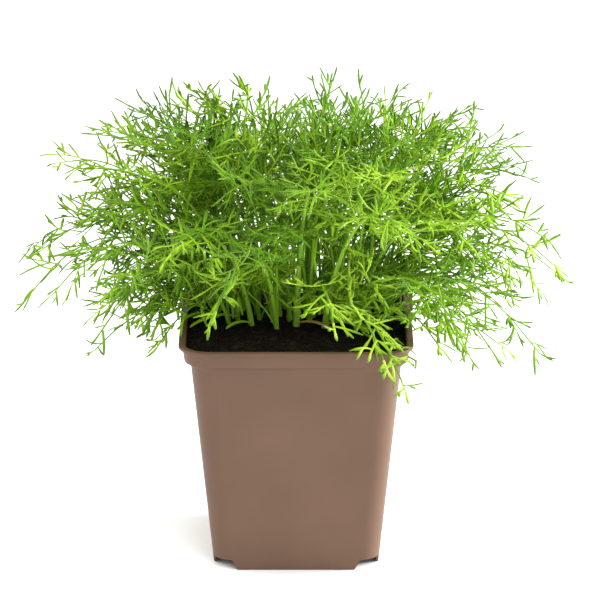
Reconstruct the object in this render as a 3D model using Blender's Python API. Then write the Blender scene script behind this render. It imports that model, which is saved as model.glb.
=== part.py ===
"""Potted dill: a square plastic nursery pot, the compost in it and the dill seedlings rooted in the compost.

Run it with blender --background --python part.py, or from Blender's text editor.
Lengths are metres and +Z is up. The origin is under the middle of the pot, on the surface that it stands on.
"""

import math
import random

import bmesh
import bpy
import numpy as np
from mathutils import Matrix, Vector

MM = 0.001

# Pot: outside sizes of a 9 cm square pot, as moulded.
POT_HEIGHT = 93 * MM
LIP_HALF = 45 * MM
LIP_RADIUS = 12 * MM
LIP_THICKNESS = 1.5 * MM
LIP_EDGE = 0.4 * MM
BAND_HALF = 43.4 * MM
BAND_HEIGHT = 5.5 * MM
BAND_DRAFT = 0.5 * MM
BAND_CURVE = 1.2 * MM
STEP_HEIGHT = 1.6 * MM
BODY_TOP_HALF = 40.4 * MM
BODY_TOP_RADIUS = 10 * MM
BASE_HALF = 32 * MM
BASE_RADIUS = 8 * MM
WALL = 1.0 * MM
FLOOR_UNDERSIDE = 4.6 * MM
FLOOR_TOP = 5.8 * MM
FOOT_HALF = 22.5 * MM
FOOT_SLANT = 2.5 * MM
DRAIN_RADIUS = 3 * MM
DRAIN_OFFSET = 15 * MM
DRAIN_CUT = 4 * MM
DRAIN_SIDES = 12
NOTCH_OFFSET = 6 * MM
CORNER_STEPS = 5
SHARP_ANGLE = math.radians(35)

# Compost: a block that fills the pot to just under the lip.
SOIL_TOP = 91.8 * MM
SOIL_CROWN = 1.0 * MM
SOIL_SHOULDER = 8 * MM
GAP = 0.3 * MM

# Dill: seedlings sown over the middle and back of the pot, spreading into a dome.
SEEDLINGS = 56
SEED = 27
SOWN_HALF_X = 33 * MM
SOWN_HALF_Y = 22 * MM
SOWN_CENTRE_Y = 12 * MM
DOME_HALF_X = 96 * MM
DOME_HALF_Y = 87 * MM
DOME_TOP = 178 * MM
DOME_EDGE = 110 * MM
DOME_ROUNDNESS = 3.0
FRONT_LIFT = 12 * MM
BACK_DROP = 14 * MM
PARTING_DEPTH = 9 * MM
PARTING_X = -8 * MM
PARTING_HALF_WIDTH = 16 * MM
ARCH = 15 * MM
SPREAD_HALF_X = 102 * MM
SPREAD_HALF_Y = 93 * MM
# How far the tips of some outer seedlings hang below the dome, in millimetres.
HANGING = {
    37: 26, 39: 24, 41: 20, 43: 30, 45: 30, 46: 38, 47: 32,
    49: 20, 51: 24, 52: 36, 53: 30, 54: 12, 55: 6,
}
# How far, in millimetres, a tip may end below or above the dome, and the turn in radians to either side.
TIP_SCATTER = (-8, 6)
TIP_TURN = 0.1
# A stem's lean and rise at its curve's two controls, as shares of the whole.
LEAN = (0.12, 0.6)
RISE = (0.45, 0.84)
AXIS_TRIES = 60
LEAF_TRIES = 30
POT_CLEARANCE = 4 * MM
STEM_RADIUS = 1.2 * MM
STEM_RESOLUTION = 1
TIP_RADIUS = 0.8 * MM
AXIS_POINTS = 7
LEAVES_EACH = 5
LEAF_LENGTH = (16 * MM, 26 * MM)
LEAF_HALF_WIDTH = 2.4 * MM
LEAF_HALF_THICKNESS = 0.7 * MM
LEAF_WIDTHS = (0.3, 1.0, 0.25)
LEAF_FORWARD = (0.5, 0.9)
LEAF_TURN = 0.9
LEAF_DROOP = 0.25
CLEARANCE = 0.5 * MM
WELD_DISTANCE = 0.02 * MM
GOLDEN_ANGLE = math.pi * (3 - math.sqrt(5))
# Two segments are parallel below this, and the division by their spread is kept from zero.
LEAST_SPREAD = 1e-18

PLASTIC = (0.255, 0.162, 0.115)
COMPOST = (0.012, 0.008, 0.005)
LEAF_GREEN = (0.12, 0.32, 0.02)


def clear_scene():
    """Start from an empty scene."""
    for obj in list(bpy.data.objects):
        bpy.data.objects.remove(obj, do_unlink=True)


def new_collection(name):
    """A collection linked to the scene."""
    collection = bpy.data.collections.new(name)
    bpy.context.scene.collection.children.link(collection)
    return collection


def material(name, colour, roughness):
    """A plain material, from a linear colour."""
    made = bpy.data.materials.new(name)
    made.use_nodes = True
    shader = made.node_tree.nodes["Principled BSDF"]
    shader.inputs["Base Color"].default_value = (*colour, 1)
    shader.inputs["Roughness"].default_value = roughness
    shader.inputs["Metallic"].default_value = 0
    return made


def add_object(name, mesh, finish, collection):
    """An object of this mesh and material, linked to the collection."""
    obj = bpy.data.objects.new(name, mesh)
    if finish:
        mesh.materials.append(finish)
    collection.objects.link(obj)
    return obj


def as_cutter(obj):
    """Keep an object for a Boolean only."""
    obj.hide_render = True
    obj.display_type = "WIRE"
    return obj


def boolean(obj, other, operation):
    """Cut the other object from this one, or join it on."""
    modifier = obj.modifiers.new(other.name, "BOOLEAN")
    modifier.operation = operation
    modifier.solver = "EXACT"
    modifier.object = other


def rounded_square(half, radius, height):
    """The points of a square with round corners, anticlockwise from above."""
    points = []
    for corner in range(4):
        turn = corner * math.pi / 2
        middle = Matrix.Rotation(turn, 3, "Z") @ Vector((half - radius, half - radius, height))
        for step in range(CORNER_STEPS + 1):
            angle = turn + step / CORNER_STEPS * math.pi / 2
            points.append(middle + radius * Vector((math.cos(angle), math.sin(angle), 0)))
    return points


def loft(name, sections):
    """A closed solid through square sections: each is a half width, a corner radius and a height."""
    bm = bmesh.new()
    rings = [[bm.verts.new(p) for p in rounded_square(*section)] for section in sections]
    for lower, upper in zip(rings, rings[1:]):
        for i in range(len(lower)):
            j = (i + 1) % len(lower)
            bm.faces.new((lower[i], lower[j], upper[j], upper[i]))
    bm.faces.new(rings[0][::-1])
    bm.faces.new(rings[-1])
    bmesh.ops.recalc_face_normals(bm, faces=bm.faces)
    mesh = bpy.data.meshes.new(name)
    bm.to_mesh(mesh)
    bm.free()
    return mesh


BAND_BOTTOM = POT_HEIGHT - LIP_THICKNESS - BAND_HEIGHT
BODY_TOP = BAND_BOTTOM - STEP_HEIGHT


def body_section(height, inset=0):
    """Half width, corner radius and height of the pot's tapered body, moved inwards by the inset."""
    share = height / BODY_TOP
    half = BASE_HALF + (BODY_TOP_HALF - BASE_HALF) * share
    radius = BASE_RADIUS + (BODY_TOP_RADIUS - BASE_RADIUS) * share
    return half - inset, radius - inset, height


def rim_section(half, height):
    """A section of the rim, whose corners stay concentric with the lip's."""
    return half, LIP_RADIUS - (LIP_HALF - half), height


def pot_sections():
    """Up the outside from the floor's underside and the foot, over the lip, and down inside to the floor."""
    lip_bottom = POT_HEIGHT - LIP_THICKNESS
    return [
        body_section(FLOOR_UNDERSIDE, WALL),
        body_section(0, WALL),
        body_section(0),
        body_section(FLOOR_UNDERSIDE),
        body_section(BODY_TOP),
        rim_section(BAND_HALF - BAND_DRAFT - BAND_CURVE, BAND_BOTTOM),
        rim_section(BAND_HALF - BAND_DRAFT, BAND_BOTTOM + BAND_CURVE),
        rim_section(BAND_HALF, lip_bottom - LIP_EDGE),
        rim_section(LIP_HALF - LIP_EDGE, lip_bottom),
        rim_section(LIP_HALF, lip_bottom + LIP_EDGE),
        rim_section(LIP_HALF, POT_HEIGHT - LIP_EDGE),
        rim_section(LIP_HALF - LIP_EDGE, POT_HEIGHT),
        rim_section(BAND_HALF - WALL, POT_HEIGHT),
        rim_section(BAND_HALF - BAND_DRAFT - WALL, BAND_BOTTOM + BAND_CURVE),
        body_section(BODY_TOP, WALL),
        body_section(FLOOR_TOP, WALL),
    ]


def drain_cutter(collection):
    """Four corner drains and a middle one, through the floor."""
    bm = bmesh.new()
    places = [(x * DRAIN_OFFSET, y * DRAIN_OFFSET) for x in (-1, 1) for y in (-1, 1)]
    for x, y in [*places, (0, 0)]:
        bmesh.ops.create_cone(
            bm, cap_ends=True, segments=DRAIN_SIDES,
            radius1=DRAIN_RADIUS, radius2=DRAIN_RADIUS, depth=DRAIN_CUT,
            matrix=Matrix.Translation((x, y, (FLOOR_UNDERSIDE + FLOOR_TOP) / 2)),
        )
    mesh = bpy.data.meshes.new("drains")
    bm.to_mesh(mesh)
    bm.free()
    return as_cutter(add_object("drains", mesh, None, collection))


def notch_cutter(collection):
    """Frustums that cut the skirt away at the corners, and leave a foot with slanted ends on each side."""
    bm = bmesh.new()
    centre = BASE_HALF + NOTCH_OFFSET
    depth = FLOOR_UNDERSIDE - GAP
    for x in (-1, 1):
        for y in (-1, 1):
            bmesh.ops.create_cone(
                bm, cap_ends=True, segments=4,
                radius1=(centre - FOOT_HALF + FOOT_SLANT) * math.sqrt(2),
                radius2=(centre - FOOT_HALF - FOOT_SLANT) * math.sqrt(2),
                depth=2 * depth,
                matrix=Matrix.Translation((x * centre, y * centre, 0)) @ Matrix.Rotation(math.pi / 4, 4, "Z"),
            )
    mesh = bpy.data.meshes.new("notches")
    bm.to_mesh(mesh)
    bm.free()
    return as_cutter(add_object("notches", mesh, None, collection))


def make_pot(parts, cutters):
    """The moulded pot, with its drains and its foot notches cut."""
    pot = add_object("pot", loft("pot", pot_sections()), material("taupe_plastic", PLASTIC, 0.5), parts)
    boolean(pot, drain_cutter(cutters), "DIFFERENCE")
    boolean(pot, notch_cutter(cutters), "DIFFERENCE")
    pot.data.shade_smooth()
    pot.data.set_sharp_from_angle(angle=SHARP_ANGLE)


def make_soil(parts):
    """The block of compost, clear of the pot's wall and floor all round."""
    inset = WALL + GAP
    sections = [
        body_section(FLOOR_TOP + GAP, inset + GAP),
        body_section(BODY_TOP, inset + GAP),
        rim_section(BAND_HALF - BAND_DRAFT - inset - GAP, BAND_BOTTOM + BAND_CURVE + GAP),
        rim_section(BAND_HALF - BAND_DRAFT - inset - GAP, SOIL_TOP - SOIL_CROWN),
        rim_section(BAND_HALF - SOIL_SHOULDER, SOIL_TOP),
    ]
    add_object("compost", loft("compost", sections), material("peat_compost", COMPOST, 0.95), parts)


def dome_point(share, angle, lift):
    """A place on the foliage dome: share 0 is its top and 1 its edge, and lift raises it."""
    x = DOME_HALF_X * share * math.cos(angle)
    y = DOME_HALF_Y * share * math.sin(angle)
    height = DOME_EDGE + (DOME_TOP - DOME_EDGE) * (1 - share**DOME_ROUNDNESS) ** (1 / DOME_ROUNDNESS)
    height += FRONT_LIFT * max(0, -math.sin(angle)) * share - BACK_DROP * max(0, math.sin(angle)) * share
    height -= PARTING_DEPTH * math.exp(-(((x - PARTING_X) / PARTING_HALF_WIDTH) ** 2))
    return Vector((x, y, height + lift))


def bezier(points, t):
    """A point on the cubic curve through four control points."""
    a, b, c, d = points
    s = 1 - t
    return s**3 * a + 3 * s * s * t * b + 3 * s * t * t * c + t**3 * d


def seedling_axis(number, rng):
    """The line of one seedling's stem and main leaf: it rises from the compost and arches out to the dome."""
    share = math.sqrt((number + 0.5) / SEEDLINGS)
    angle = number * GOLDEN_ANGLE
    root = Vector((
        SOWN_HALF_X * share * math.cos(angle),
        SOWN_CENTRE_Y + SOWN_HALF_Y * share * math.sin(angle),
        SOIL_TOP + GAP + STEM_RADIUS / 3,
    ))
    hang = HANGING.get(number, 0) * MM
    lift = rng.uniform(*TIP_SCATTER) * MM - hang
    tip = dome_point(share, angle + rng.uniform(-TIP_TURN, TIP_TURN), lift)
    across = Vector((tip.x - root.x, tip.y - root.y, 0))
    rise = tip.z - root.z
    arch = ARCH * share**3 + hang / 2
    first = root + across * LEAN[0] + Vector((0, 0, RISE[0] * rise + arch / 2))
    second = root + across * LEAN[1] + Vector((0, 0, RISE[1] * rise + arch))
    controls = (root, first, second, tip)
    return [bezier(controls, i / (AXIS_POINTS - 1)) for i in range(AXIS_POINTS)]


def side_leaf(axis, order, rng):
    """A leaf that leaves the axis at one of its points, turned from the last one, and droops a little."""
    at = 1 + order
    along = (axis[at + 1] - axis[at - 1]).normalized()
    side = along.orthogonal().normalized()
    side.rotate(Matrix.Rotation(order * GOLDEN_ANGLE + rng.uniform(-LEAF_TURN, LEAF_TURN), 3, along))
    away = (along * rng.uniform(*LEAF_FORWARD) + side).normalized()
    length = rng.uniform(*LEAF_LENGTH)
    half = length * 0.5
    elbow = axis[at] + away * half
    end = elbow + (away + Vector((0, 0, -LEAF_DROOP))).normalized() * half
    return [axis[at].copy(), elbow, end]


def segments(line, radius):
    """The segments of a line as rows of start, end and radius."""
    return [[*a, *b, radius] for a, b in zip(line, line[1:])]


def row_dot(a, b):
    """The dot product of each row of a with the same row of b."""
    return (a * b).sum(axis=1)


def is_clear(rows, others):
    """Whether none of these segments comes near any of the others, by their least distance apart."""
    if not others:
        return True
    table = np.array(others)
    starts = table[:, :3]
    v = table[:, 3:6] - starts
    vv = row_dot(v, v)
    for row in rows:
        start = np.array(row[:3])
        u = np.tile(np.array(row[3:6]) - start, (len(table), 1))
        w = start - starts
        uu, uv, uw, vw = row_dot(u, u), row_dot(u, v), row_dot(u, w), row_dot(v, w)
        spread = np.maximum(uu * vv - uv * uv, LEAST_SPREAD)
        s = np.clip((uv * vw - vv * uw) / spread, 0, 1)
        t = np.clip((uv * s + vw) / vv, 0, 1)
        s = np.clip((uv * t - uw) / uu, 0, 1)
        apart = w + s[:, None] * u - t[:, None] * v
        if (np.sqrt(row_dot(apart, apart)) < table[:, 6] + row[6] + CLEARANCE).any():
            return False
    return True


def is_above_pot(points):
    """Whether the points that are over the pot clear its lip and the compost."""
    reach = LIP_HALF + POT_CLEARANCE
    over = [p for p in points if abs(p.x) < reach and abs(p.y) < reach]
    return all(p.z > POT_HEIGHT + POT_CLEARANCE for p in over)


def grow_axes(rng):
    """The seedlings' axes; one that comes too near an earlier one is drawn again."""
    axes = []
    rows = []
    for number in range(SEEDLINGS):
        for _ in range(AXIS_TRIES):
            axis = seedling_axis(number, rng)
            if is_above_pot(axis[1:]) and is_clear(segments(axis, STEM_RADIUS), rows):
                break
        axes.append(axis)
        rows += segments(axis, STEM_RADIUS)
    return axes


def grow_leaves(axes, rng):
    """The leaves of each seedling, each clear of every other leaf and of the other seedlings' axes."""
    grown = []
    rows = []
    for number, axis in enumerate(axes):
        others = [row for n, line in enumerate(axes) if n != number for row in segments(line, STEM_RADIUS)]
        leaves = []
        for order in range(LEAVES_EACH):
            for _ in range(LEAF_TRIES):
                leaf = side_leaf(axis, order, rng)
                if is_above_pot(leaf) and is_clear(segments(leaf, LEAF_HALF_WIDTH), others + rows):
                    leaves.append(leaf)
                    rows += segments(leaf, LEAF_HALF_WIDTH)
                    break
        grown.append(leaves)
    return grown


def spread_evenly(lines):
    """Stretch the seedlings sideways so that they reach as far to each side as to the other."""
    xs = [point.x for line in lines for point in line]
    ys = [point.y for line in lines for point in line]
    for line in lines:
        for point in line:
            point.x *= SPREAD_HALF_X / (max(xs) if point.x > 0 else -min(xs))
            point.y *= SPREAD_HALF_Y / (max(ys) if point.y > 0 else -min(ys))


def tube_mesh(name, lines, radii, profile=None):
    """Lines swept with a round section, or with the profile's, and closed at their ends."""
    curve = bpy.data.curves.new(name, "CURVE")
    curve.dimensions = "3D"
    curve.twist_mode = "Z_UP"
    curve.use_fill_caps = True
    if profile:
        curve.bevel_mode = "OBJECT"
        curve.bevel_object = profile
    else:
        curve.bevel_depth = 1
        curve.bevel_resolution = STEM_RESOLUTION
    for line in lines:
        spline = curve.splines.new("POLY")
        spline.points.add(len(line) - 1)
        for point, place, radius in zip(spline.points, line, radii):
            point.co = (*place, 1)
            point.radius = radius
    holder = bpy.data.objects.new(name, curve)
    bpy.context.scene.collection.objects.link(holder)
    graph = bpy.context.evaluated_depsgraph_get()
    mesh = bpy.data.meshes.new_from_object(holder.evaluated_get(graph))
    bpy.data.objects.remove(holder, do_unlink=True)
    bm = bmesh.new()
    bm.from_mesh(mesh)
    bmesh.ops.remove_doubles(bm, verts=bm.verts, dist=WELD_DISTANCE)
    bmesh.ops.recalc_face_normals(bm, faces=bm.faces)
    bm.to_mesh(mesh)
    bm.free()
    mesh.materials.clear()
    return mesh


def leaf_profile():
    """The flat four-sided section of a leaf blade."""
    curve = bpy.data.curves.new("leaf_profile", "CURVE")
    curve.dimensions = "2D"
    spline = curve.splines.new("POLY")
    spline.points.add(3)
    width, thickness = LEAF_HALF_WIDTH, LEAF_HALF_THICKNESS
    corners = [(width, 0), (0, thickness), (-width, 0), (0, -thickness)]
    for point, (x, y) in zip(spline.points, corners):
        point.co = (x, y, 0, 1)
    spline.use_cyclic_u = True
    holder = bpy.data.objects.new("leaf_profile", curve)
    bpy.context.scene.collection.objects.link(holder)
    return holder


def make_seedling(number, axis, leaves, profile, finish, parts, cutters):
    """One closed body: the stem, joined with its leaves."""
    name = f"dill_seedling_{number + 1:02d}"
    taper = [STEM_RADIUS + (TIP_RADIUS - STEM_RADIUS) * i / (AXIS_POINTS - 1) for i in range(AXIS_POINTS)]
    stem = add_object(name, tube_mesh(name, [axis], taper), finish, parts)
    blades = tube_mesh(name + "_leaves", leaves, LEAF_WIDTHS, profile)
    boolean(stem, as_cutter(add_object(name + "_leaves", blades, None, cutters)), "UNION")


def main():
    """Make the pot, the compost and every seedling."""
    clear_scene()
    parts = new_collection("potted_dill")
    cutters = new_collection("cutters")
    make_pot(parts, cutters)
    make_soil(parts)
    rng = random.Random(SEED)
    axes = grow_axes(rng)
    all_leaves = grow_leaves(axes, rng)
    spread_evenly(axes + [leaf for leaves in all_leaves for leaf in leaves])
    profile = leaf_profile()
    green = material("dill_green", LEAF_GREEN, 0.6)
    for number, leaves in enumerate(all_leaves):
        make_seedling(number, axes[number], leaves, profile, green, parts, cutters)
    bpy.data.objects.remove(profile, do_unlink=True)


main()
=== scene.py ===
"""Potted dill, finished: moulded pot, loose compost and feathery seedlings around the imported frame."""

import math
import random

import bmesh
import bpy
import numpy as np
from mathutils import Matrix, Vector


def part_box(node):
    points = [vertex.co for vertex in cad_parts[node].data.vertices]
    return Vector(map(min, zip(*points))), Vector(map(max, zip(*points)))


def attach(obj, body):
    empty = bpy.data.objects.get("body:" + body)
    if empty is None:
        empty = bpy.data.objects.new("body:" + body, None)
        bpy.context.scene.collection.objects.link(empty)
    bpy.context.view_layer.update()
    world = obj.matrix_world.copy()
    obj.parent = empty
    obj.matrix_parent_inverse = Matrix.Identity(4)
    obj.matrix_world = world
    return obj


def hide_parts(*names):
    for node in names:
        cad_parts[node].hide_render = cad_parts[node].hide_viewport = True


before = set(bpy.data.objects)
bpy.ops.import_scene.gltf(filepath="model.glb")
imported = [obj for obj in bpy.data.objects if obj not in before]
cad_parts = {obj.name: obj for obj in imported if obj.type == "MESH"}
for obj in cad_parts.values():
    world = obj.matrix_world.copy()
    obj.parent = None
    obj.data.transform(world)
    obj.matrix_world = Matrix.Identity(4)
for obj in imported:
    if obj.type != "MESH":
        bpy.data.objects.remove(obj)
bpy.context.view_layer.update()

MM = 0.001
UP = np.array((0.0, 0.0, 1.0))
# Bounds that keep divisions and directions sound where a length is zero.
TINY = 1e-9
LEAST_LENGTH = 1e-12
NUDGE = 1e-6
POT_BOX = [np.array(corner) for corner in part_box("pot")]
SOIL_BOX = [np.array(corner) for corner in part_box("compost")]
SEEDLING_NODES = sorted(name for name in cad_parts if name.startswith("dill_seedling"))

# Pot, from the frame's box and the moulding's own thicknesses.
LIP_HALF = POT_BOX[1][0]
POT_HEIGHT = POT_BOX[1][2]
LIP_RADIUS = 12 * MM
LIP_THICKNESS = 1.5 * MM
LIP_EDGE = 0.4 * MM
BAND_INSET = 1.6 * MM
BAND_HALF = LIP_HALF - BAND_INSET
BAND_HEIGHT = 5.5 * MM
BAND_DRAFT = 0.5 * MM
BAND_CURVE = 1.2 * MM
STEP_HEIGHT = 1.6 * MM
BODY_INSET = 4.6 * MM
BODY_TOP_HALF = LIP_HALF - BODY_INSET
BODY_TOP_RADIUS = 10 * MM
BASE_HALF = 32 * MM
BASE_RADIUS = 8 * MM
WALL = 1.0 * MM
FLOOR_UNDERSIDE = 4.6 * MM
FLOOR_TOP = 5.8 * MM
FOOT_HALF = 22.5 * MM
FOOT_SLANT = 2.5 * MM
DRAIN_RADIUS = 3 * MM
DRAIN_OFFSET = 15 * MM
DRAIN_CUT = 4 * MM
DRAIN_SIDES = 32
NOTCH_OFFSET = 6 * MM
NOTCH_GAP = 0.3 * MM
FOOT_EDGE = 0.25 * MM
FOOT_INNER_EDGE = 0.2 * MM
SHOULDER_EASE = 1.2 * MM
SHOULDER_FLARE = 0.15 * MM
LIP_FILLET = 0.3 * MM
EDGE_SHARE = 0.3
CORNER_STEPS = 12
SHARP_ANGLE = math.radians(38)
BAND_BOTTOM = POT_HEIGHT - LIP_THICKNESS - BAND_HEIGHT
BODY_TOP = BAND_BOTTOM - STEP_HEIGHT

# Compost.
SOIL_TOP = SOIL_BOX[1][2]
SOIL_GAP = 0.6 * MM
SOIL_HALF = BAND_HALF - WALL - SOIL_GAP
SOIL_STEPS = 90
SOIL_SEED = 5
SOIL_EDGE = 9 * MM
SOIL_EDGE_DROP = 0.9 * MM
SOIL_SETTLED = 0.3 * MM
# The surface's ripples: each has a height, a number of waves and a wavelength.
SOIL_RIPPLES = ((0.8 * MM, 9, 13 * MM), (0.45 * MM, 12, 3.5 * MM))
WAVELENGTH_SPREAD = (0.6, 1.6)
WAVE_PHASE = 6.3
CRUMBS = 2600
CRUMB_SIZE = 0.9 * MM
SMALLEST_CRUMB = 0.35
CRUMB_SHAPE = (0.65, 1.2)
CRUMB_SEED = 9
CRUMB_TURN = 6.28
# Crumbs lie only where the surface's normal points up by more than this.
LEVEL_ENOUGH = 0.6
# The heights of the block's first step below its surface, and of its underside.
SOIL_SIDE_TOP = BAND_BOTTOM + 2 * MM
SOIL_BOTTOM = FLOOR_TOP + 0.3 * MM

# Paper floor.
FLOOR_HALF = 6

# Dill.
STEM_RADIUS = 0.95 * MM
CAD_TIP_RADIUS = 0.8 * MM
CAD_RING_SIDES = 6
CAD_RING_REACH = 2.2 * CAD_TIP_RADIUS
CAD_RING_TOLERANCE = 0.12 * CAD_TIP_RADIUS
CAD_FOOT_HEIGHT = 0.7 * MM
# Leaves keep this gap to the pot. They count as over its lip from the reach inside the band outwards, and as
# beside its wall from this far below the lip.
LEAF_GAP = 0.8 * MM
LIP_REACH = 3 * MM
BELOW_LIP = 5 * MM
SEED = 61
SEED_STEP = 7
DOME_TOP = 178 * MM
DOME_EDGE = 110 * MM
DOME_ROUNDNESS = 3.0
# How much outer stems arch, how far a tip hangs before its stem arches more, and how deep stems are set.
ARCH = 15 * MM
LEAN_ARCH = 6 * MM
HANG_SLACK = 6 * MM
STEM_DEPTH = 2 * MM
BALL_CENTRE = np.array((0, 2 * MM, 99 * MM))
BALL_HALF = np.array((86 * MM, 78 * MM, 78 * MM))
BALL_POWER = 2.5
STEM_REACH = 0.96
# A stem's lean and rise at its curve's two controls, as shares of the whole.
STEM_LEAN = (0.12, 0.6)
STEM_RISE = (0.45, 0.84)
# Half widths along a line: a stem's and a stalk's as shares of the stem radius, a thread's and a rib's as
# shares of the lobe radius, and a strap's in mm.
AXIS_WIDTHS = (1.35, 0.9, 0.65, 0.5, 0.42)
STALK_WIDTHS = (0.9, 0.7, 0.56, 0.48, 0.42)
THREAD_WIDTHS = (0.7, 0.9, 1.0, 1.0, 0.55)
RIB_WIDTHS = (0.85, 0.8, 0.7)
STRAP_WIDTHS = (0.7, 0.9, 1.0, 0.9, 0.3)
THREAD_FLATNESS = 0.55
THREAD_SIDES = 5
# How many points each kind of line has.
AXIS_POINTS = 18
STALK_POINTS = 14
STRAP_POINTS = 12
THREAD_POINTS = 5
END_RIB_POINTS = 4
# How much of the palette's height a turn round a thread spans, so that its faces have an area on the map.
LANE = 0.012
# Leaves that stand out: the seedling each grows from, where it ends in mm, its arch, its reach and its tone.
ODD_LEAVES = (
    (51, (-100, -6, 108), 34, 20, 0.45), (46, (-72, -30, 101), 24, 19, 0.3), (30, (-95, 4, 122), 26, 18, 0.5),
    (34, (98, -4, 117), 30, 17, 0.62), (52, (88, -38, 97), 34, 24, 0.3), (39, (72, -46, 98), 26, 18, 0.35),
    (31, (40, -58, 86), 22, 15, 0.66), (44, (33, -56, 94), 20, 15, 0.7), (25, (-60, 2, 163), 18, 13, 0.55),
    (9, (-38, 0, 183), 6, 9, 0.5), (26, (71, 0, 153), 8, 15, 0.4), (22, (-80, 4, 152), 8, 15, 0.5),
    (20, (-30, -58, 114), 16, 17, 0.6), (23, (14, -60, 110), 16, 17, 0.68), (33, (-51, -26, 93), 14, 15, 0.5),
    (42, (81, 8, 137), 20, 18, 0.45), (34, (77, -10, 147), 16, 18, 0.55), (47, (92, 0, 128), 22, 18, 0.4),
    (38, (-60, 6, 163), 12, 17, 0.5), (46, (-76, -8, 138), 18, 17, 0.4), (21, (62, 4, 168), 10, 16, 0.5),
    (47, (60, -28, 97), 18, 18, 0.5), (4, (-19, 0, 184), 6, 12, 0.45), (7, (-27, -4, 180), 8, 12, 0.55),
    (38, (-56, -12, 96), 16, 16, 0.35), (39, (53, -28, 93), 14, 15, 0.6), (47, (56, -10, 95), 16, 16, 0.5),
)
PINNA_SPACING = 10.5 * MM
PINNA_LENGTH = 22 * MM
LOBE_SPACING = 5.2 * MM
LOBE_LENGTH = 8.2 * MM
LOBE_RADIUS = 0.5 * MM
# How a pinna's lobes sit on its rib: their angles in degrees, their bends, and how their sizes vary.
LOBE_START = 0.28
LOBE_ANGLE = (45, 78)
END_LOBE_ANGLE = (-20, 20)
LOBE_TILT = 0.4
LOBE_CURVE = (-0.15, 0.4)
LOBE_TWIST = 0.25
LOBE_SHRINK = 0.38
LOBE_SIZE = (0.7, 1.25)
FULL_PINNA = 16 * MM
SAG = (-0.3, 0.35)
# How often a lobe forks, where on it, and the second tine's angle in degrees and size.
FORK_CHANCE = 0.5
FORK_AT = (0.25, 0.5)
FORK_ANGLE = (30, 55)
FORK_SIZE = (0.4, 0.65)
# How the pinnae sit on a leaf's rachis: they close up by some degrees and shrink towards its tip.
PINNA_ANGLE = (52, 74)
PINNA_CLOSING = 14
PINNA_ROLL = 0.5
PINNA_STAGGER = 0.3
PINNA_SHRINK = 0.6
PINNA_SIZE = (0.75, 1.2)
PINNA_CURVE = (-0.1, 0.35)
RIB_SHARE = 0.72
# Tones are places on the palette: leaves from the oldest green at 0 to the youngest, then stems, then dry.
TONE_STRAY = 0.1
BRIGHTEST_TONE = 0.76
STEM_TONE = 0.88
STALK_TONE = STEM_TONE - 0.05
WITHERED_TONE = 0.98
# Leaves from a seedling's crown: how many, how far their bearings stray and how they crowd to the corners.
CROWN_LEAVES = (2, 3, 3)
BEARING_STRAY = 0.45
CORNER_PULL = 0.22
# Where the leaves over the pot's side and front end, in mm: across, in depth and in height.
SIDE_LEAF = ((50, 80), (-44, 4), (93, 116))
FRONT_LEAF = ((-24, 24), (-26, -8), (10, 34))
# Strap leaves that lie on the compost: the seedling each grows from, where it ends in mm, and its tone.
STRAPS = (
    (46, (-44, -5), 0.5), (33, (-41, -13), 0.66), (41, (-27, -15), 0.45), (31, (32, -17), 0.6),
    (39, (43, -8), 0.7), (44, (28, -21), 0.5), (36, (15, -19), WITHERED_TONE),
)


def linear(code):
    """A hex colour code as linear red, green, blue and alpha."""
    values = [int(code[i : i + 2], 16) / 255 for i in (0, 2, 4)]
    return (*[v / 12.92 if v <= 0.04045 else ((v + 0.055) / 1.055) ** 2.4 for v in values], 1)


def add_node(tree, kind, inputs=None, **settings):
    """A node with its settings; each input takes a value, or the output that it is linked from."""
    node = tree.nodes.new(kind)
    for name, value in settings.items():
        setattr(node, name, value)
    for socket, value in (inputs or {}).items():
        if isinstance(value, bpy.types.NodeSocket):
            tree.links.new(value, node.inputs[socket])
        else:
            node.inputs[socket].default_value = value
    return node


def new_finish(name, roughness):
    """A material, its tree and its shader."""
    made = bpy.data.materials.new(name)
    made.use_nodes = True
    shader = made.node_tree.nodes["Principled BSDF"]
    shader.inputs["Roughness"].default_value = roughness
    return made, made.node_tree, shader


def ramp(tree, factor, stops):
    """A colour ramp through (place, colour) stops."""
    node = add_node(tree, "ShaderNodeValToRGB", {"Fac": factor})
    elements = node.color_ramp.elements
    while len(elements) < len(stops):
        elements.new(0.5)
    for element, (place, colour) in zip(elements, stops):
        element.position = place
        element.color = linear(colour)
    return node.outputs["Color"]


def moulded_polypropylene():
    """Thin injection-moulded polypropylene: an even taupe with faint flow clouding and a soft satin grain."""
    made, tree, shader = new_finish("moulded_polypropylene", 0.5)
    place = add_node(tree, "ShaderNodeTexCoord").outputs["Object"]
    flow = add_node(tree, "ShaderNodeTexNoise", {"Vector": place, "Scale": 1 / (28 * MM), "Detail": 3.0})
    colour = ramp(tree, flow.outputs["Fac"], [(0.3, "614a3b"), (0.7, "684f40")])
    tree.links.new(colour, shader.inputs["Base Color"])
    # Real moulded grain is finer than this; it is drawn at 0.7 mm so that it shows.
    grain = add_node(tree, "ShaderNodeTexNoise", {"Vector": place, "Scale": 1 / (0.7 * MM), "Detail": 2.0})
    bump = add_node(tree, "ShaderNodeBump", {
        "Height": grain.outputs["Fac"], "Strength": 0.12, "Distance": 0.05 * MM,
    })
    tree.links.new(bump.outputs["Normal"], shader.inputs["Normal"])
    shader.inputs["IOR"].default_value = 1.49
    shader.inputs["Specular IOR Level"].default_value = 0.22
    return made


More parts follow.
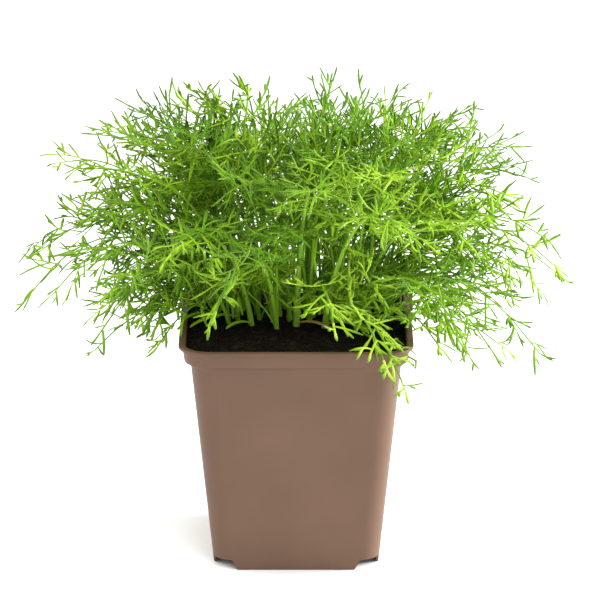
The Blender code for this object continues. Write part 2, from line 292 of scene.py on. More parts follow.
def moist_peat_compost():
    """Moist crumbled peat: nearly black brown, with paler dry grains and hardly any shine."""
    made, tree, shader = new_finish("moist_peat_compost", 0.85)
    place = add_node(tree, "ShaderNodeTexCoord").outputs["Object"]
    clumps = add_node(tree, "ShaderNodeTexNoise", {"Vector": place, "Scale": 1 / (3 * MM), "Detail": 6.0})
    colour = ramp(tree, clumps.outputs["Fac"], [(0.35, "0b0805"), (0.55, "150f09"), (0.75, "30231a")])
    tree.links.new(colour, shader.inputs["Base Color"])
    bump = add_node(tree, "ShaderNodeBump", {
        "Height": clumps.outputs["Fac"], "Strength": 0.7, "Distance": 0.6 * MM,
    })
    tree.links.new(bump.outputs["Normal"], shader.inputs["Normal"])
    shader.inputs["Specular IOR Level"].default_value = 0.12
    return made


def living_dill():
    """Young dill leaf: waxy threads, yellow-green where lit, and deeper green when old and at the tips."""
    made, tree, shader = new_finish("living_dill", 0.48)
    palette = add_node(tree, "ShaderNodeUVMap", uv_map="palette").outputs["UV"]
    split = add_node(tree, "ShaderNodeSeparateXYZ", {"Vector": palette})
    along, tone = split.outputs["X"], split.outputs["Y"]
    body = ramp(tree, tone, [
        (0.0, "4a780a"), (0.35, "6d9c12"), (0.6, "95bd20"), (0.78, "b0d242"),
        (0.82, "79a824"), (0.94, "9cc448"), (0.97, "a08c4c"),
    ])
    tip = ramp(tree, tone, [
        (0.0, "304d0a"), (0.6, "5d8316"), (0.8, "55741c"), (0.94, "648a26"), (0.97, "7c6436"),
    ])
    mix = add_node(tree, "ShaderNodeMix", data_type="RGBA")
    fade = add_node(tree, "ShaderNodeMapRange", {"Value": along, "From Min": 0.55, "From Max": 1.0})
    tree.links.new(fade.outputs["Result"], mix.inputs[0])
    tree.links.new(body, mix.inputs[6])
    tree.links.new(tip, mix.inputs[7])
    tree.links.new(mix.outputs[2], shader.inputs["Base Color"])
    shader.inputs["IOR"].default_value = 1.42
    shader.inputs["Specular IOR Level"].default_value = 0.3
    return made


def pale_paper():
    """Matt white backdrop paper, which gives the soft bounce under the pot."""
    made, _, shader = new_finish("pale_backdrop_paper", 0.9)
    shader.inputs["Base Color"].default_value = linear("fbfbfa")
    shader.inputs["Specular IOR Level"].default_value = 0.1
    return made


def add_piece(name, mesh, finish=None):
    """An object of this mesh, and of this material if one is given, in the scene."""
    piece = bpy.data.objects.new(name, mesh)
    bpy.context.scene.collection.objects.link(piece)
    if finish:
        mesh.materials.clear()
        mesh.materials.append(finish)
    return piece


def made_mesh(piece):
    """The piece with its modifiers worked in: the object keeps only the finished mesh."""
    graph = bpy.context.evaluated_depsgraph_get()
    mesh = bpy.data.meshes.new_from_object(piece.evaluated_get(graph))
    piece.modifiers.clear()
    old = piece.data
    piece.data = mesh
    bpy.data.meshes.remove(old)
    mesh.name = piece.name
    return piece


def rounded_square(half, radius, height):
    """The points of a square with round corners, anticlockwise from above."""
    points = []
    for corner in range(4):
        turn = corner * math.pi / 2
        middle = half - radius
        x = middle * (math.cos(turn) - math.sin(turn))
        y = middle * (math.sin(turn) + math.cos(turn))
        for step in range(CORNER_STEPS + 1):
            angle = turn + step / CORNER_STEPS * math.pi / 2
            points.append((x + radius * math.cos(angle), y + radius * math.sin(angle), height))
    return points


def body_section(height, inset=0.0):
    """A section of the pot's tapered body at a height, moved inwards by the inset."""
    share = height / BODY_TOP
    half = BASE_HALF + (BODY_TOP_HALF - BASE_HALF) * share
    radius = BASE_RADIUS + (BODY_TOP_RADIUS - BASE_RADIUS) * share
    return half - inset, radius - inset, height


def rim_section(half, height):
    """A section of the rim, whose corners stay concentric with the lip's."""
    return half, LIP_RADIUS - (LIP_HALF - half), height


def pot_sections():
    """Up the outside from the floor's underside and foot, over the lip, and down inside to the floor."""
    lip_bottom = POT_HEIGHT - LIP_THICKNESS
    return [
        body_section(FLOOR_UNDERSIDE, WALL),
        body_section(FOOT_INNER_EDGE, WALL),
        body_section(0, WALL - FOOT_INNER_EDGE),
        body_section(0, FOOT_EDGE),
        body_section(FOOT_EDGE),
        body_section(FLOOR_UNDERSIDE),
        body_section(BODY_TOP - SHOULDER_EASE),
        body_section(BODY_TOP, -SHOULDER_FLARE),
        rim_section(BAND_HALF - BAND_DRAFT - BAND_CURVE, BAND_BOTTOM),
        rim_section(BAND_HALF - BAND_DRAFT - EDGE_SHARE * BAND_CURVE, BAND_BOTTOM + EDGE_SHARE * BAND_CURVE),
        rim_section(BAND_HALF - BAND_DRAFT, BAND_BOTTOM + BAND_CURVE),
        rim_section(BAND_HALF, lip_bottom - LIP_EDGE),
        rim_section(BAND_HALF + LIP_FILLET, lip_bottom),
        rim_section(LIP_HALF - LIP_EDGE, lip_bottom),
        rim_section(LIP_HALF, lip_bottom + LIP_EDGE),
        rim_section(LIP_HALF, POT_HEIGHT - LIP_EDGE),
        rim_section(LIP_HALF - EDGE_SHARE * LIP_EDGE, POT_HEIGHT - EDGE_SHARE * LIP_EDGE),
        rim_section(LIP_HALF - LIP_EDGE, POT_HEIGHT),
        rim_section(BAND_HALF - WALL + LIP_EDGE, POT_HEIGHT),
        rim_section(BAND_HALF - WALL, POT_HEIGHT - LIP_EDGE),
        rim_section(BAND_HALF - BAND_DRAFT - WALL, BAND_BOTTOM + BAND_CURVE),
        body_section(BODY_TOP, WALL),
        body_section(FLOOR_TOP, WALL),
    ]


def loft(name, sections):
    """A closed solid through the sections, capped at both ends."""
    bm = bmesh.new()
    rings = [[bm.verts.new(p) for p in rounded_square(*section)] for section in sections]
    for lower, upper in zip(rings, rings[1:]):
        for i in range(len(lower)):
            j = (i + 1) % len(lower)
            bm.faces.new((lower[i], lower[j], upper[j], upper[i]))
    bm.faces.new(rings[0][::-1])
    bm.faces.new(rings[-1])
    bmesh.ops.recalc_face_normals(bm, faces=bm.faces)
    mesh = bpy.data.meshes.new(name)
    bm.to_mesh(mesh)
    bm.free()
    return mesh


def pot_cutters():
    """The drains through the floor, and the notches that leave a foot on each side of the skirt."""
    bm = bmesh.new()
    drains = [(x * DRAIN_OFFSET, y * DRAIN_OFFSET) for x in (-1, 1) for y in (-1, 1)] + [(0, 0)]
    for x, y in drains:
        made = bmesh.ops.create_cone(
            bm, cap_ends=True, segments=DRAIN_SIDES,
            radius1=DRAIN_RADIUS, radius2=DRAIN_RADIUS, depth=DRAIN_CUT,
        )
        bmesh.ops.translate(bm, verts=made["verts"], vec=(x, y, (FLOOR_UNDERSIDE + FLOOR_TOP) / 2))
    centre = BASE_HALF + NOTCH_OFFSET
    depth = FLOOR_UNDERSIDE - NOTCH_GAP
    levels = ((centre - FOOT_HALF + FOOT_SLANT, -depth), (centre - FOOT_HALF - FOOT_SLANT, depth))
    corners = ((-1, -1), (1, -1), (1, 1), (-1, 1))
    for x in (-1, 1):
        for y in (-1, 1):
            lower, upper = [
                [bm.verts.new((x * centre + a * half, y * centre + b * half, z)) for a, b in corners]
                for half, z in levels
            ]
            for i in range(4):
                j = (i + 1) % 4
                bm.faces.new((lower[i], lower[j], upper[j], upper[i]))
            bm.faces.new(lower[::-1])
            bm.faces.new(upper)
    mesh = bpy.data.meshes.new("pot_cutters")
    bm.to_mesh(mesh)
    bm.free()
    return add_piece("pot_cutters", mesh)


def make_pot():
    """The moulded pot, with its drains and its foot notches cut."""
    pot = add_piece("nursery_pot", loft("nursery_pot", pot_sections()), moulded_polypropylene())
    cutters = pot_cutters()
    cut = pot.modifiers.new("cut", "BOOLEAN")
    cut.operation = "DIFFERENCE"
    cut.solver = "EXACT"
    cut.object = cutters
    made_mesh(pot)
    bpy.data.objects.remove(cutters, do_unlink=True)
    pot.data.shade_smooth()
    pot.data.set_sharp_from_angle(angle=SHARP_ANGLE)
    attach(pot, "root")
    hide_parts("pot")


def smooth_noise(x, y, rng, waves, length):
    """A sum of random ripples of about one wavelength, from -1 to 1."""
    total = np.zeros_like(x)
    for _ in range(waves):
        angle = rng.uniform(0, 2 * math.pi)
        pitch = 2 * math.pi / (length * rng.uniform(*WAVELENGTH_SPREAD))
        total += np.sin((x * math.cos(angle) + y * math.sin(angle)) * pitch + rng.uniform(0, WAVE_PHASE))
    return total / waves


def soil_surface(x, y):
    """The compost's height: rippled, nearly level, and lower along the pot's wall."""
    rng = random.Random(SOIL_SEED)
    edge = np.clip((np.maximum(abs(x), abs(y)) - SOIL_HALF + SOIL_EDGE) / SOIL_EDGE, 0, 1)
    height = SOIL_TOP - SOIL_EDGE_DROP * edge**1.5
    for size, waves, length in SOIL_RIPPLES:
        height = height + size * smooth_noise(x, y, rng, waves, length)
    return height - SOIL_SETTLED


def crumb_tree():
    """Scatters crumbs over a surface; each is a few-faced clod, turned and sized at random."""
    tree = bpy.data.node_groups.new("scatter_crumbs", "GeometryNodeTree")
    socket = tree.interface.new_socket
    socket("Geometry", in_out="INPUT", socket_type="NodeSocketGeometry")
    socket("Crumb", in_out="INPUT", socket_type="NodeSocketObject")
    socket("Density", in_out="INPUT", socket_type="NodeSocketFloat")
    socket("Smallest", in_out="INPUT", socket_type="NodeSocketFloat")
    socket("Largest", in_out="INPUT", socket_type="NodeSocketFloat")
    socket("Finish", in_out="INPUT", socket_type="NodeSocketMaterial")
    socket("Geometry", in_out="OUTPUT", socket_type="NodeSocketGeometry")
    enter = tree.nodes.new("NodeGroupInput").outputs
    normal = add_node(tree, "GeometryNodeInputNormal").outputs["Normal"]
    level = add_node(tree, "ShaderNodeSeparateXYZ", {"Vector": normal}).outputs["Z"]
    upward = add_node(tree, "FunctionNodeCompare", {0: level, 1: LEVEL_ENOUGH}, operation="GREATER_THAN")
    scatter = add_node(tree, "GeometryNodeDistributePointsOnFaces", {
        "Mesh": enter["Geometry"], "Selection": upward.outputs["Result"],
        "Density": enter["Density"], "Seed": 3,
    })
    turn = add_node(tree, "FunctionNodeRandomValue", {
        1: (CRUMB_TURN, CRUMB_TURN, CRUMB_TURN), "Seed": 4,
    }, data_type="FLOAT_VECTOR")
    size = add_node(tree, "FunctionNodeRandomValue", {
        2: enter["Smallest"], 3: enter["Largest"], "Seed": 5,
    }, data_type="FLOAT")
    crumb = add_node(tree, "GeometryNodeObjectInfo", {"Object": enter["Crumb"]}).outputs["Geometry"]
    placed = add_node(tree, "GeometryNodeInstanceOnPoints", {
        "Points": scatter.outputs["Points"], "Instance": crumb,
        "Rotation": turn.outputs["Value"], "Scale": size.outputs[1],
    })
    joined = add_node(tree, "GeometryNodeJoinGeometry")
    tree.links.new(placed.outputs["Instances"], joined.inputs["Geometry"])
    tree.links.new(enter["Geometry"], joined.inputs["Geometry"])
    real = add_node(tree, "GeometryNodeRealizeInstances", {"Geometry": joined.outputs["Geometry"]})
    coated = add_node(tree, "GeometryNodeSetMaterial", {
        "Geometry": real.outputs["Geometry"], "Material": enter["Finish"],
    })
    leave = tree.nodes.new("NodeGroupOutput")
    tree.links.new(coated.outputs["Geometry"], leave.inputs["Geometry"])
    return tree


def run_tree(piece, tree, **inputs):
    """The piece after a node tree with the named inputs, as a plain mesh."""
    modifier = piece.modifiers.new(tree.name, "NODES")
    modifier.node_group = tree
    for item in tree.interface.items_tree:
        if item.item_type == "SOCKET" and item.in_out == "INPUT" and item.name in inputs:
            modifier[item.identifier] = inputs[item.name]
    return made_mesh(piece)


def make_crumb():
    """A small uneven clod."""
    bm = bmesh.new()
    bmesh.ops.create_icosphere(bm, subdivisions=1, radius=1)
    rng = random.Random(CRUMB_SEED)
    for vert in bm.verts:
        vert.co *= rng.uniform(*CRUMB_SHAPE)
    mesh = bpy.data.meshes.new("crumb")
    bm.to_mesh(mesh)
    bm.free()
    return add_piece("crumb", mesh)


def make_soil():
    """The compost as a closed block: a rough crumbly top over plain sides that the pot hides."""
    finish = moist_peat_compost()
    side = np.linspace(-SOIL_HALF, SOIL_HALF, SOIL_STEPS + 1)
    x, y = np.meshgrid(side, side)
    radius = LIP_RADIUS - (LIP_HALF - SOIL_HALF)
    over_x = np.clip(abs(x) - SOIL_HALF + radius, 0, None)
    over_y = np.clip(abs(y) - SOIL_HALF + radius, 0, None)
    reach = np.hypot(over_x, over_y)
    pull = np.where(reach > TINY, np.maximum(over_x, over_y) / np.maximum(reach, TINY), 1)
    x = np.sign(x) * (abs(x) - over_x * (1 - pull))
    y = np.sign(y) * (abs(y) - over_y * (1 - pull))
    z = soil_surface(x, y)
    bm = bmesh.new()
    steps = range(SOIL_STEPS + 1)
    grid = [[bm.verts.new((x[i, j], y[i, j], z[i, j])) for j in steps] for i in steps]
    for i in range(SOIL_STEPS):
        for j in range(SOIL_STEPS):
            bm.faces.new((grid[i][j], grid[i][j + 1], grid[i + 1][j + 1], grid[i + 1][j]))
    rim = grid[0][:-1] + [row[-1] for row in grid[:-1]]
    rim += grid[-1][:0:-1] + [row[0] for row in grid[:0:-1]]
    levels = [
        (SOIL_SIDE_TOP, 1.0),
        (BODY_TOP, (BODY_TOP_HALF - WALL - SOIL_GAP) / SOIL_HALF),
        (SOIL_BOTTOM, (body_section(FLOOR_TOP)[0] - WALL - SOIL_GAP) / SOIL_HALF),
    ]
    above = rim
    for height, share in levels:
        below = [bm.verts.new((v.co.x * share, v.co.y * share, height)) for v in rim]
        for i in range(len(rim)):
            j = (i + 1) % len(rim)
            bm.faces.new((above[i], below[i], below[j], above[j]))
        above = below
    bm.faces.new(above)
    bmesh.ops.recalc_face_normals(bm, faces=bm.faces)
    mesh = bpy.data.meshes.new("compost_bed")
    bm.to_mesh(mesh)
    bm.free()
    mesh.shade_smooth()
    soil = add_piece("compost_bed", mesh)
    crumb = make_crumb()
    density = CRUMBS / (2 * SOIL_HALF) ** 2
    run_tree(
        soil, crumb_tree(), Crumb=crumb, Density=density,
        Smallest=SMALLEST_CRUMB * CRUMB_SIZE, Largest=CRUMB_SIZE, Finish=finish,
    )
    bpy.data.objects.remove(crumb, do_unlink=True)
    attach(soil, "root")
    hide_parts("compost")


def unit(v):
    """The vector v at a length of one."""
    return v / max(np.linalg.norm(v), LEAST_LENGTH)


def turned(v, axis, angle):
    """The vector v turned about the axis."""
    axis = unit(axis)
    c, s = math.cos(angle), math.sin(angle)
    return v * c + np.cross(axis, v) * s + axis * np.dot(axis, v) * (1 - c)


def bent(start, direction, bend, length, points):
    """A line that sets out along the direction and turns towards the bend."""
    t = np.linspace(0, 1, points)[:, None]
    return start + length * (direction * t + bend * t * t)


def bezier(controls, points):
    """Points on the cubic curve through four controls."""
    a, b, c, d = controls
    t = np.linspace(0, 1, points)[:, None]
    s = 1 - t
    return s**3 * a + 3 * s * s * t * b + 3 * s * t * t * c + t**3 * d


def place_on(line, share):
    """The point and the direction at a share of the line's points."""
    x = share * (len(line) - 1)
    i = min(int(x), len(line) - 2)
    return line[i] + (line[i + 1] - line[i]) * (x - i), unit(line[i + 1] - line[i])


class Plant:
    """The lines of one plant, each with a width and colour place along it."""

    def __init__(self):
        """Start with no lines."""
        self.lines = []

    def add(self, line, widths, tone, start=0.0, end=1.0):
        """Add a line: its half widths are spread evenly over it, and start and end are its palette places."""
        along = np.linspace(start, end, len(line))
        widths = np.interp(np.linspace(0, 1, len(line)), np.linspace(0, 1, len(widths)), widths)
        self.lines.append((line, widths, along, np.full(len(line), tone)))

    def mesh(self, name):
        """All the lines as one mesh of edges, with their widths and palette places as attributes."""
        points = np.concatenate([line[0] for line in self.lines])
        edges = []
        first = 0
        for line, *_ in self.lines:
            edges += [(first + i, first + i + 1) for i in range(len(line) - 1)]
            first += len(line)
        mesh = bpy.data.meshes.new(name)
        mesh.from_pydata(points.tolist(), edges, [])
        for index, label in enumerate(("width", "along", "tone"), 1):
            values = np.concatenate([line[index] for line in self.lines]).astype(np.float32)
            mesh.attributes.new(label, "FLOAT", "POINT").data.foreach_set("value", values)
        return mesh


def sweep_tree():
    """Sweeps lines with a flattened round section as wide as each point says, and lays their colour map."""
    tree = bpy.data.node_groups.new("sweep_threads", "GeometryNodeTree")
    socket = tree.interface.new_socket
    socket("Geometry", in_out="INPUT", socket_type="NodeSocketGeometry")
    socket("Thickness", in_out="INPUT", socket_type="NodeSocketFloat")
    socket("Sides", in_out="INPUT", socket_type="NodeSocketInt")
    socket("Finish", in_out="INPUT", socket_type="NodeSocketMaterial")
    socket("Geometry", in_out="OUTPUT", socket_type="NodeSocketGeometry")
    enter = tree.nodes.new("NodeGroupInput").outputs

    def named(label):
        """The value of a named attribute."""
        node = add_node(tree, "GeometryNodeInputNamedAttribute", {"Name": label}, data_type="FLOAT")
        return node.outputs[0]

    line = add_node(tree, "GeometryNodeMeshToCurve", {"Mesh": enter["Geometry"]}).outputs["Curve"]
    line = add_node(tree, "GeometryNodeSetCurveNormal", {"Curve": line}, mode="Z_UP").outputs["Curve"]
    circle = add_node(tree, "GeometryNodeCurvePrimitiveCircle", {"Resolution": enter["Sides"], "Radius": 1.0})
    around = add_node(tree, "GeometryNodeSplineParameter").outputs["Factor"]
    circle = add_node(tree, "GeometryNodeStoreNamedAttribute", {
        "Geometry": circle.outputs["Curve"], "Name": "around", "Value": around,
    }, data_type="FLOAT", domain="POINT")
    scale = add_node(tree, "ShaderNodeCombineXYZ", {"X": 1.0, "Y": enter["Thickness"], "Z": 1.0})
    flat = add_node(tree, "GeometryNodeTransform", {
        "Geometry": circle.outputs["Geometry"], "Scale": scale.outputs["Vector"],
    })
    swept = add_node(tree, "GeometryNodeCurveToMesh", {
        "Curve": line, "Profile Curve": flat.outputs["Geometry"], "Scale": named("width"), "Fill Caps": True,
    }).outputs["Mesh"]
    lane = add_node(tree, "ShaderNodeMath", {
        0: named("around"), 1: LANE, 2: named("tone"),
    }, operation="MULTIPLY_ADD")
    spot = add_node(tree, "ShaderNodeCombineXYZ", {"X": named("along"), "Y": lane.outputs["Value"]})
    for label in ("palette", "OFBake"):
        swept = add_node(tree, "GeometryNodeStoreNamedAttribute", {
            "Geometry": swept, "Name": label, "Value": spot.outputs["Vector"],
        }, data_type="FLOAT2", domain="CORNER").outputs["Geometry"]
    smooth = add_node(tree, "GeometryNodeSetShadeSmooth", {"Geometry": swept}).outputs["Geometry"]
    real = add_node(tree, "GeometryNodeRealizeInstances", {"Geometry": smooth}).outputs["Geometry"]
    coated = add_node(tree, "GeometryNodeSetMaterial", {"Geometry": real, "Material": enter["Finish"]})
    leave = tree.nodes.new("NodeGroupOutput")
    tree.links.new(coated.outputs["Geometry"], leave.inputs["Geometry"])
    return tree


def clear_of_pot(line):
    """The line, lifted off the compost and the lip inside the rim, and moved out of the wall below it."""
    out = np.maximum(abs(line[:, 0]), abs(line[:, 1]))
    over = out < LIP_HALF + LEAF_GAP
    floor = np.where(out > BAND_HALF - LIP_REACH, POT_HEIGHT, SOIL_TOP) + LEAF_GAP
    low = over & (line[:, 2] < POT_HEIGHT - BELOW_LIP)
    moved = line.copy()
    moved[low, :2] *= ((LIP_HALF + LEAF_GAP) / out[low])[:, None]
    lift = over & ~low
    moved[lift, 2] = np.maximum(line[lift, 2], floor[lift])
    return moved


def grow_lobe(plant, start, direction, bend, length, tone, width):
    """One thread, widest in the middle and blunt-pointed at its tip."""
    line = clear_of_pot(bent(start, direction, bend, length, THREAD_POINTS))
    radius = LOBE_RADIUS * width
    plant.add(line, [w * radius for w in THREAD_WIDTHS], tone, 0.3, 1.0)
    return line


def grow_pinna(plant, rib, length, face, tone, rng, width):
    """A side branch of a leaf: forked lobes on alternate sides of the rib, which turn towards its tip."""
    radius = LOBE_RADIUS * width
    plant.add(rib, [w * radius for w in RIB_WIDTHS], tone, 0.1, 0.5)
    lobes = max(2, round(length / (LOBE_SPACING * width)))
    side = rng.choice((-1, 1))
    for i in range(lobes + 1):
        at = LOBE_START + (1 - LOBE_START) * i / lobes
        place, along = place_on(rib, min(at, 1))
        last = i == lobes
        angle = rng.uniform(*END_LOBE_ANGLE) if last else side * rng.uniform(*LOBE_ANGLE)
        axis = unit(face + np.array([rng.gauss(0, LOBE_TILT) for _ in range(3)]))
        out = turned(along, axis, math.radians(angle))
        bend = along * rng.uniform(*LOBE_CURVE) + axis * rng.gauss(0, LOBE_TWIST) + UP * rng.uniform(*SAG)
        small = min(1, length / FULL_PINNA + 0.3)
        reach = LOBE_LENGTH * width * (1.0 - LOBE_SHRINK * at) * rng.uniform(*LOBE_SIZE) * small
        tone_here = min(BRIGHTEST_TONE, max(0, tone + rng.uniform(-TONE_STRAY, TONE_STRAY)))
        line = grow_lobe(plant, place, out, bend, reach, tone_here, width)
        if rng.random() < FORK_CHANCE:
            place, along = place_on(line, rng.uniform(*FORK_AT))
            out = turned(along, axis, math.radians(-math.copysign(rng.uniform(*FORK_ANGLE), angle)))
            grow_lobe(plant, place, out, bend * 0.5, reach * rng.uniform(*FORK_SIZE), tone_here, width)
        side = -side


def grow_blade(plant, rachis, begin, span, tone, rng, width=1.0):
    """The feathery part of a leaf: pinnae in near pairs along the rachis, shorter towards its tip."""
    length = np.linalg.norm(np.diff(rachis, axis=0), axis=1).sum() * (1 - begin)
    pairs = max(3, round(length / PINNA_SPACING))
    middle = unit(rachis[-1] * (1, 1, 0) + NUDGE)
    for i in range(pairs):
        share = i / pairs
        for side in (-1, 1):
            at = begin + (1 - begin) * (share + rng.uniform(0, PINNA_STAGGER) / pairs)
            place, along = place_on(rachis, min(at, 1))
            face = UP + 0.5 * middle
            face = unit(face - along * np.dot(face, along))
            angle = math.radians(side * (rng.uniform(*PINNA_ANGLE) - PINNA_CLOSING * share))
            out = turned(turned(along, face, angle), along, rng.gauss(0, PINNA_ROLL))
            reach = span * (1 - PINNA_SHRINK * share) * rng.uniform(*PINNA_SIZE)
            bend = along * rng.uniform(*PINNA_CURVE) + UP * rng.uniform(*SAG)
            rib = clear_of_pot(bent(place, out, bend, reach * RIB_SHARE, THREAD_POINTS))
            grow_pinna(plant, rib, reach, face, tone, rng, width)
    place, along = rachis[-1], unit(rachis[-1] - rachis[-2])
    face = unit(UP - along * np.dot(UP, along) + NUDGE)
    rib = bent(place, along, UP * 0, span * 0.3, END_RIB_POINTS)
    grow_pinna(plant, rib, span * 0.5, face, tone, rng, width)


def dome_height(share):
    """The foliage dome's height: share 0 is its top and 1 its edge."""
    return DOME_EDGE + (DOME_TOP - DOME_EDGE) * (1 - share**DOME_ROUNDNESS) ** (1 / DOME_ROUNDNESS)


def ball_point(azimuth, elevation, reach):
    """A place in the boxy ball of foliage, by its bearing, its angle up and its share of the way out."""
    level = math.cos(elevation)
    way = np.array((level * math.cos(azimuth), level * math.sin(azimuth), math.sin(elevation)))
    x, y, z = abs(way / BALL_HALF)
    size = (math.hypot(x, y) ** BALL_POWER + z**BALL_POWER) ** (1 / BALL_POWER)
    return BALL_CENTRE + way * reach / size


def stem_line(root, tip, arch, points):
    """A stem that rises from its root and arches over to its tip."""
    across = (tip - root) * (1, 1, 0)
    rise = tip[2] - root[2]
    first = root + across * STEM_LEAN[0] + UP * (STEM_RISE[0] * rise + arch / 2)
    second = root + across * STEM_LEAN[1] + UP * (STEM_RISE[1] * rise + arch)
    return bezier((root, first, second, tip), points)


def seedling_ends(node):
    """Where the CAD seedling's stem starts and ends: the middles of its foot and of its farthest tip ring."""
    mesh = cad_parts[node].data
    places = np.zeros(len(mesh.vertices) * 3)
    mesh.vertices.foreach_get("co", places)
    places = np.unique(places.reshape(-1, 3).round(6), axis=0)
    root = places[places[:, 2] < places[:, 2].min() + CAD_FOOT_HEIGHT].mean(0)
    gaps = np.linalg.norm(places[:, None] - places[None], axis=2)
    ends = []
    for row in gaps:
        ring = places[row < CAD_RING_REACH]
        spokes = np.linalg.norm(ring - ring.mean(0), axis=1)
        if len(ring) == CAD_RING_SIDES and abs(spokes - CAD_TIP_RADIUS).max() < CAD_RING_TOLERANCE:
            ends.append(ring.mean(0))
    if not ends:
        # A stem whose tip ring is hidden in a leaf ends at the point farthest from its foot.
        ends = [places[gaps[places[:, 2].argmin()].argmax()]]
    return root, max(ends, key=lambda p: np.linalg.norm(p - root))


def add_leaf(plant, start, target, arch, span, tone, rng, begin=(0.45, 0.6), width=1.0):
    """A leaf stalk from the start to the target, with its feathery blade."""
    line = stem_line(start, target, arch, STALK_POINTS)
    line[3:] = clear_of_pot(line[3:])
    plant.add(line, [w * STEM_RADIUS for w in STALK_WIDTHS], STALK_TONE, 0, 1)
    grow_blade(plant, line, rng.uniform(*begin), span, tone, rng, width)


def grow_strap(plant, start, end, tone, rng):
    """A narrow leaf that bends over and lies along the compost."""
    low = np.array((end[0] * MM, end[1] * MM, SOIL_TOP + 1.2 * MM))
    middle = start + (low - start) * 0.45 + UP * rng.uniform(3, 8) * MM
    line = bezier((start, middle, low + UP * MM, low), STRAP_POINTS)
    plant.add(line, [w * MM for w in STRAP_WIDTHS], tone, 0.2, 0.8)


def grow_crown_leaf(plant, axis, azimuth, share, tone, rng):
    """A leaf from the seedling's crown that fills the ball of foliage near the seedling's bearing."""
    start, _ = place_on(axis, rng.choice((0.0, 0.01, rng.uniform(0.02, 0.22))))
    aim = azimuth + rng.gauss(0, BEARING_STRAY)
    aim -= CORNER_PULL * math.sin(2 * aim)
    front = -math.sin(aim)
    lowest, highest = (24 if front > 0.35 else 8, 62) if share > 0.4 else (48, 86)
    elevation = math.radians(rng.uniform(lowest, highest))
    nearest, farthest = (0.6, 1.0) if share > 0.45 else (0.5, 0.95)
    target = ball_point(aim, elevation, rng.uniform(nearest, farthest))
    leaf_tone = min(0.7, max(0.05, tone + rng.uniform(-0.2, 0.25)))
    width = rng.uniform(1.0, 1.35) if front > 0.3 else rng.uniform(0.9, 1.2)
    # Few leaves grow to the front, where the compost and the stems show.
    if front < 0.5 or rng.random() < 0.3:
        arch = (4 + 12 * math.cos(elevation)) * MM
        span = PINNA_LENGTH * rng.uniform(0.7, 1.05)
        add_leaf(plant, start, target, arch, span, leaf_tone, rng, width=width)


def grow_side_leaf(plant, axis, root, side, rng):
    """A leaf that hangs out over the pot's rim: to the left if side is -1, and to the right if it is 1."""
    start, _ = place_on(axis, 0.03)
    across, depth, height = [rng.uniform(*limits) for limits in SIDE_LEAF]
    target = np.array((side * across, root[1] / MM + depth, height)) * MM
    tone = rng.uniform(0.25, 0.7)
    add_leaf(plant, start, target, 15 * MM, PINNA_LENGTH * 0.85, tone, rng, (0.36, 0.46))


def grow_front_leaf(plant, axis, root, rng):
    """A short bright leaf that leans over the bare compost at the front."""
    start, _ = place_on(axis, 0)
    target = root + np.array([rng.uniform(*limits) for limits in FRONT_LEAF]) * MM
    tone = rng.uniform(0.45, 0.7)
    add_leaf(plant, start, target, 8 * MM, PINNA_LENGTH * 0.8, tone, rng, (0.35, 0.5), 1.2)


def grow_seedling(node, number, count):
    """One seedling: the stem and main leaf of the frame, and more leaves from its crown around it."""
    rng = random.Random(SEED + SEED_STEP * number)
    plant = Plant()
    root, tip = seedling_ends(node)
    tip = root + (tip - root) * STEM_REACH
    share = math.sqrt((number + 0.5) / count)
    azimuth = math.atan2(tip[1] - root[1], tip[0] - root[0])
    tone = rng.uniform(0.15, 0.62)
    hang = max(0, dome_height(share) - tip[2] - HANG_SLACK)
    arch = LEAN_ARCH * share + ARCH * share**3 + hang / 2
    axis = stem_line(root - UP * STEM_DEPTH, tip, arch, AXIS_POINTS)
    thick = STEM_RADIUS * rng.uniform(0.7, 1.2)
    stem_tone = STEM_TONE + rng.uniform(-0.05, 0.04)
    plant.add(axis, [w * thick for w in AXIS_WIDTHS], stem_tone, 0, 1)
    grow_blade(plant, axis, rng.uniform(0.48, 0.58), PINNA_LENGTH * rng.uniform(0.85, 1.15), tone, rng)
    for _ in range(rng.choice(CROWN_LEAVES)):
        grow_crown_leaf(plant, axis, azimuth, share, tone, rng)
    if abs(math.cos(azimuth)) > 0.45 and share > 0.45:
        grow_side_leaf(plant, axis, root, math.copysign(1, math.cos(azimuth)), rng)
    if math.sin(azimuth) < -0.3 and share > 0.5 and number % 3:
        grow_front_leaf(plant, axis, root, rng)
    for source, end, strap_tone in STRAPS:
        if source == number:
            grow_strap(plant, place_on(axis, 0.02)[0], end, strap_tone, rng)
    for source, end, arch, reach, leaf_tone in ODD_LEAVES:
        if source == number:
            start, _ = place_on(axis, 0.08)
            target = np.array(end) * MM
            add_leaf(plant, start, target, arch * MM, reach * MM, leaf_tone, rng, (0.52, 0.6), 1.25)
    return plant


def make_foliage():
    """One piece of foliage for each seedling of the frame."""
    tree = sweep_tree()
    green = living_dill()
    for number, node in enumerate(SEEDLING_NODES):
        plant = grow_seedling(node, number, len(SEEDLING_NODES))
        name = node.replace("dill_seedling", "feathery_dill")
        piece = add_piece(name, plant.mesh(name))
        run_tree(piece, tree, Thickness=THREAD_FLATNESS, Sides=THREAD_SIDES, Finish=green)
        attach(piece, "root")
        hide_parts(node)


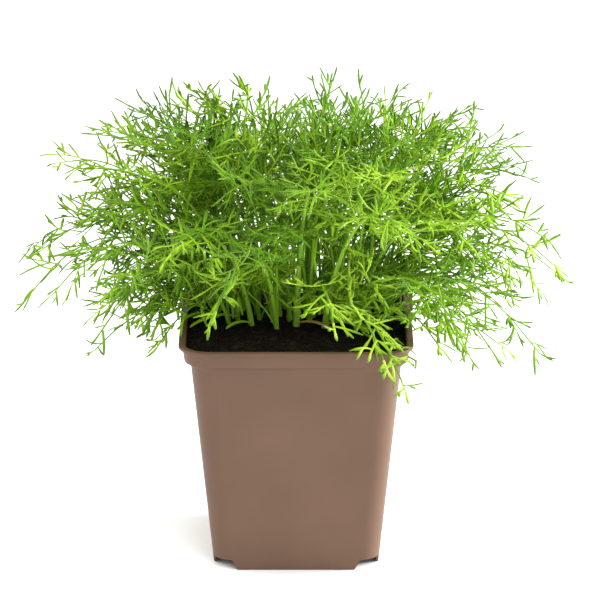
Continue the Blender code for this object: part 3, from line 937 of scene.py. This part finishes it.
def add_light(name, place, aim, size, power):
    """A round white soft light at a place, turned to its aim."""
    data = bpy.data.lights.new(name, "AREA")
    data.shape = "DISK"
    data.size = size
    data.energy = power
    light = bpy.data.objects.new(name, data)
    bpy.context.scene.collection.objects.link(light)
    light.location = place
    direction = np.array(aim) - np.array(place)
    flat = math.hypot(direction[0], direction[1])
    tilt = math.pi / 2 + math.atan2(direction[2], flat)
    turn = math.atan2(direction[1], direction[0]) - math.pi / 2
    light.rotation_euler = (tilt, 0, turn)


def make_stage():
    """A white paper floor and an even white surround."""
    bm = bmesh.new()
    bmesh.ops.create_grid(bm, x_segments=1, y_segments=1, size=FLOOR_HALF)
    mesh = bpy.data.meshes.new("paper_floor")
    bm.to_mesh(mesh)
    bm.free()
    add_piece("paper_floor", mesh, pale_paper())
    world = bpy.data.worlds.new("studio")
    world.use_nodes = True
    world.node_tree.nodes["Background"].inputs["Color"].default_value = linear("ffffff")
    world.node_tree.nodes["Background"].inputs["Strength"].default_value = 1.0
    bpy.context.scene.world = world
    bpy.context.scene.view_settings.view_transform = "Standard"


def make_lights():
    """A large key above the front, and a light on each side that edges the leaves and the pot."""
    aim = (0, 0, 0.1)
    add_light("key", (0.35, -1.0, 1.3), aim, 0.9, 14)
    add_light("edge_right", (0.75, 0.16, 0.22), (0.03, 0, 0.07), 0.3, 14)
    add_light("edge_left", (-1.0, 0.3, 0.6), aim, 0.6, 8)


def make_camera():
    """A long lens a little above the rim, square to the pot's front."""
    elevation = math.radians(17.8)
    distance = 1.73
    aim = (1.5 * MM, 0, 100 * MM)
    data = bpy.data.cameras.new("camera")
    data.sensor_width = 36
    data.lens = 267
    camera = bpy.data.objects.new("camera", data)
    bpy.context.scene.collection.objects.link(camera)
    camera.location = (aim[0], -distance * math.cos(elevation), aim[2] + distance * math.sin(elevation))
    camera.rotation_euler = (math.pi / 2 - elevation, 0, 0)
    bpy.context.scene.camera = camera


make_stage()
make_lights()
make_camera()
make_pot()
make_soil()
make_foliage()
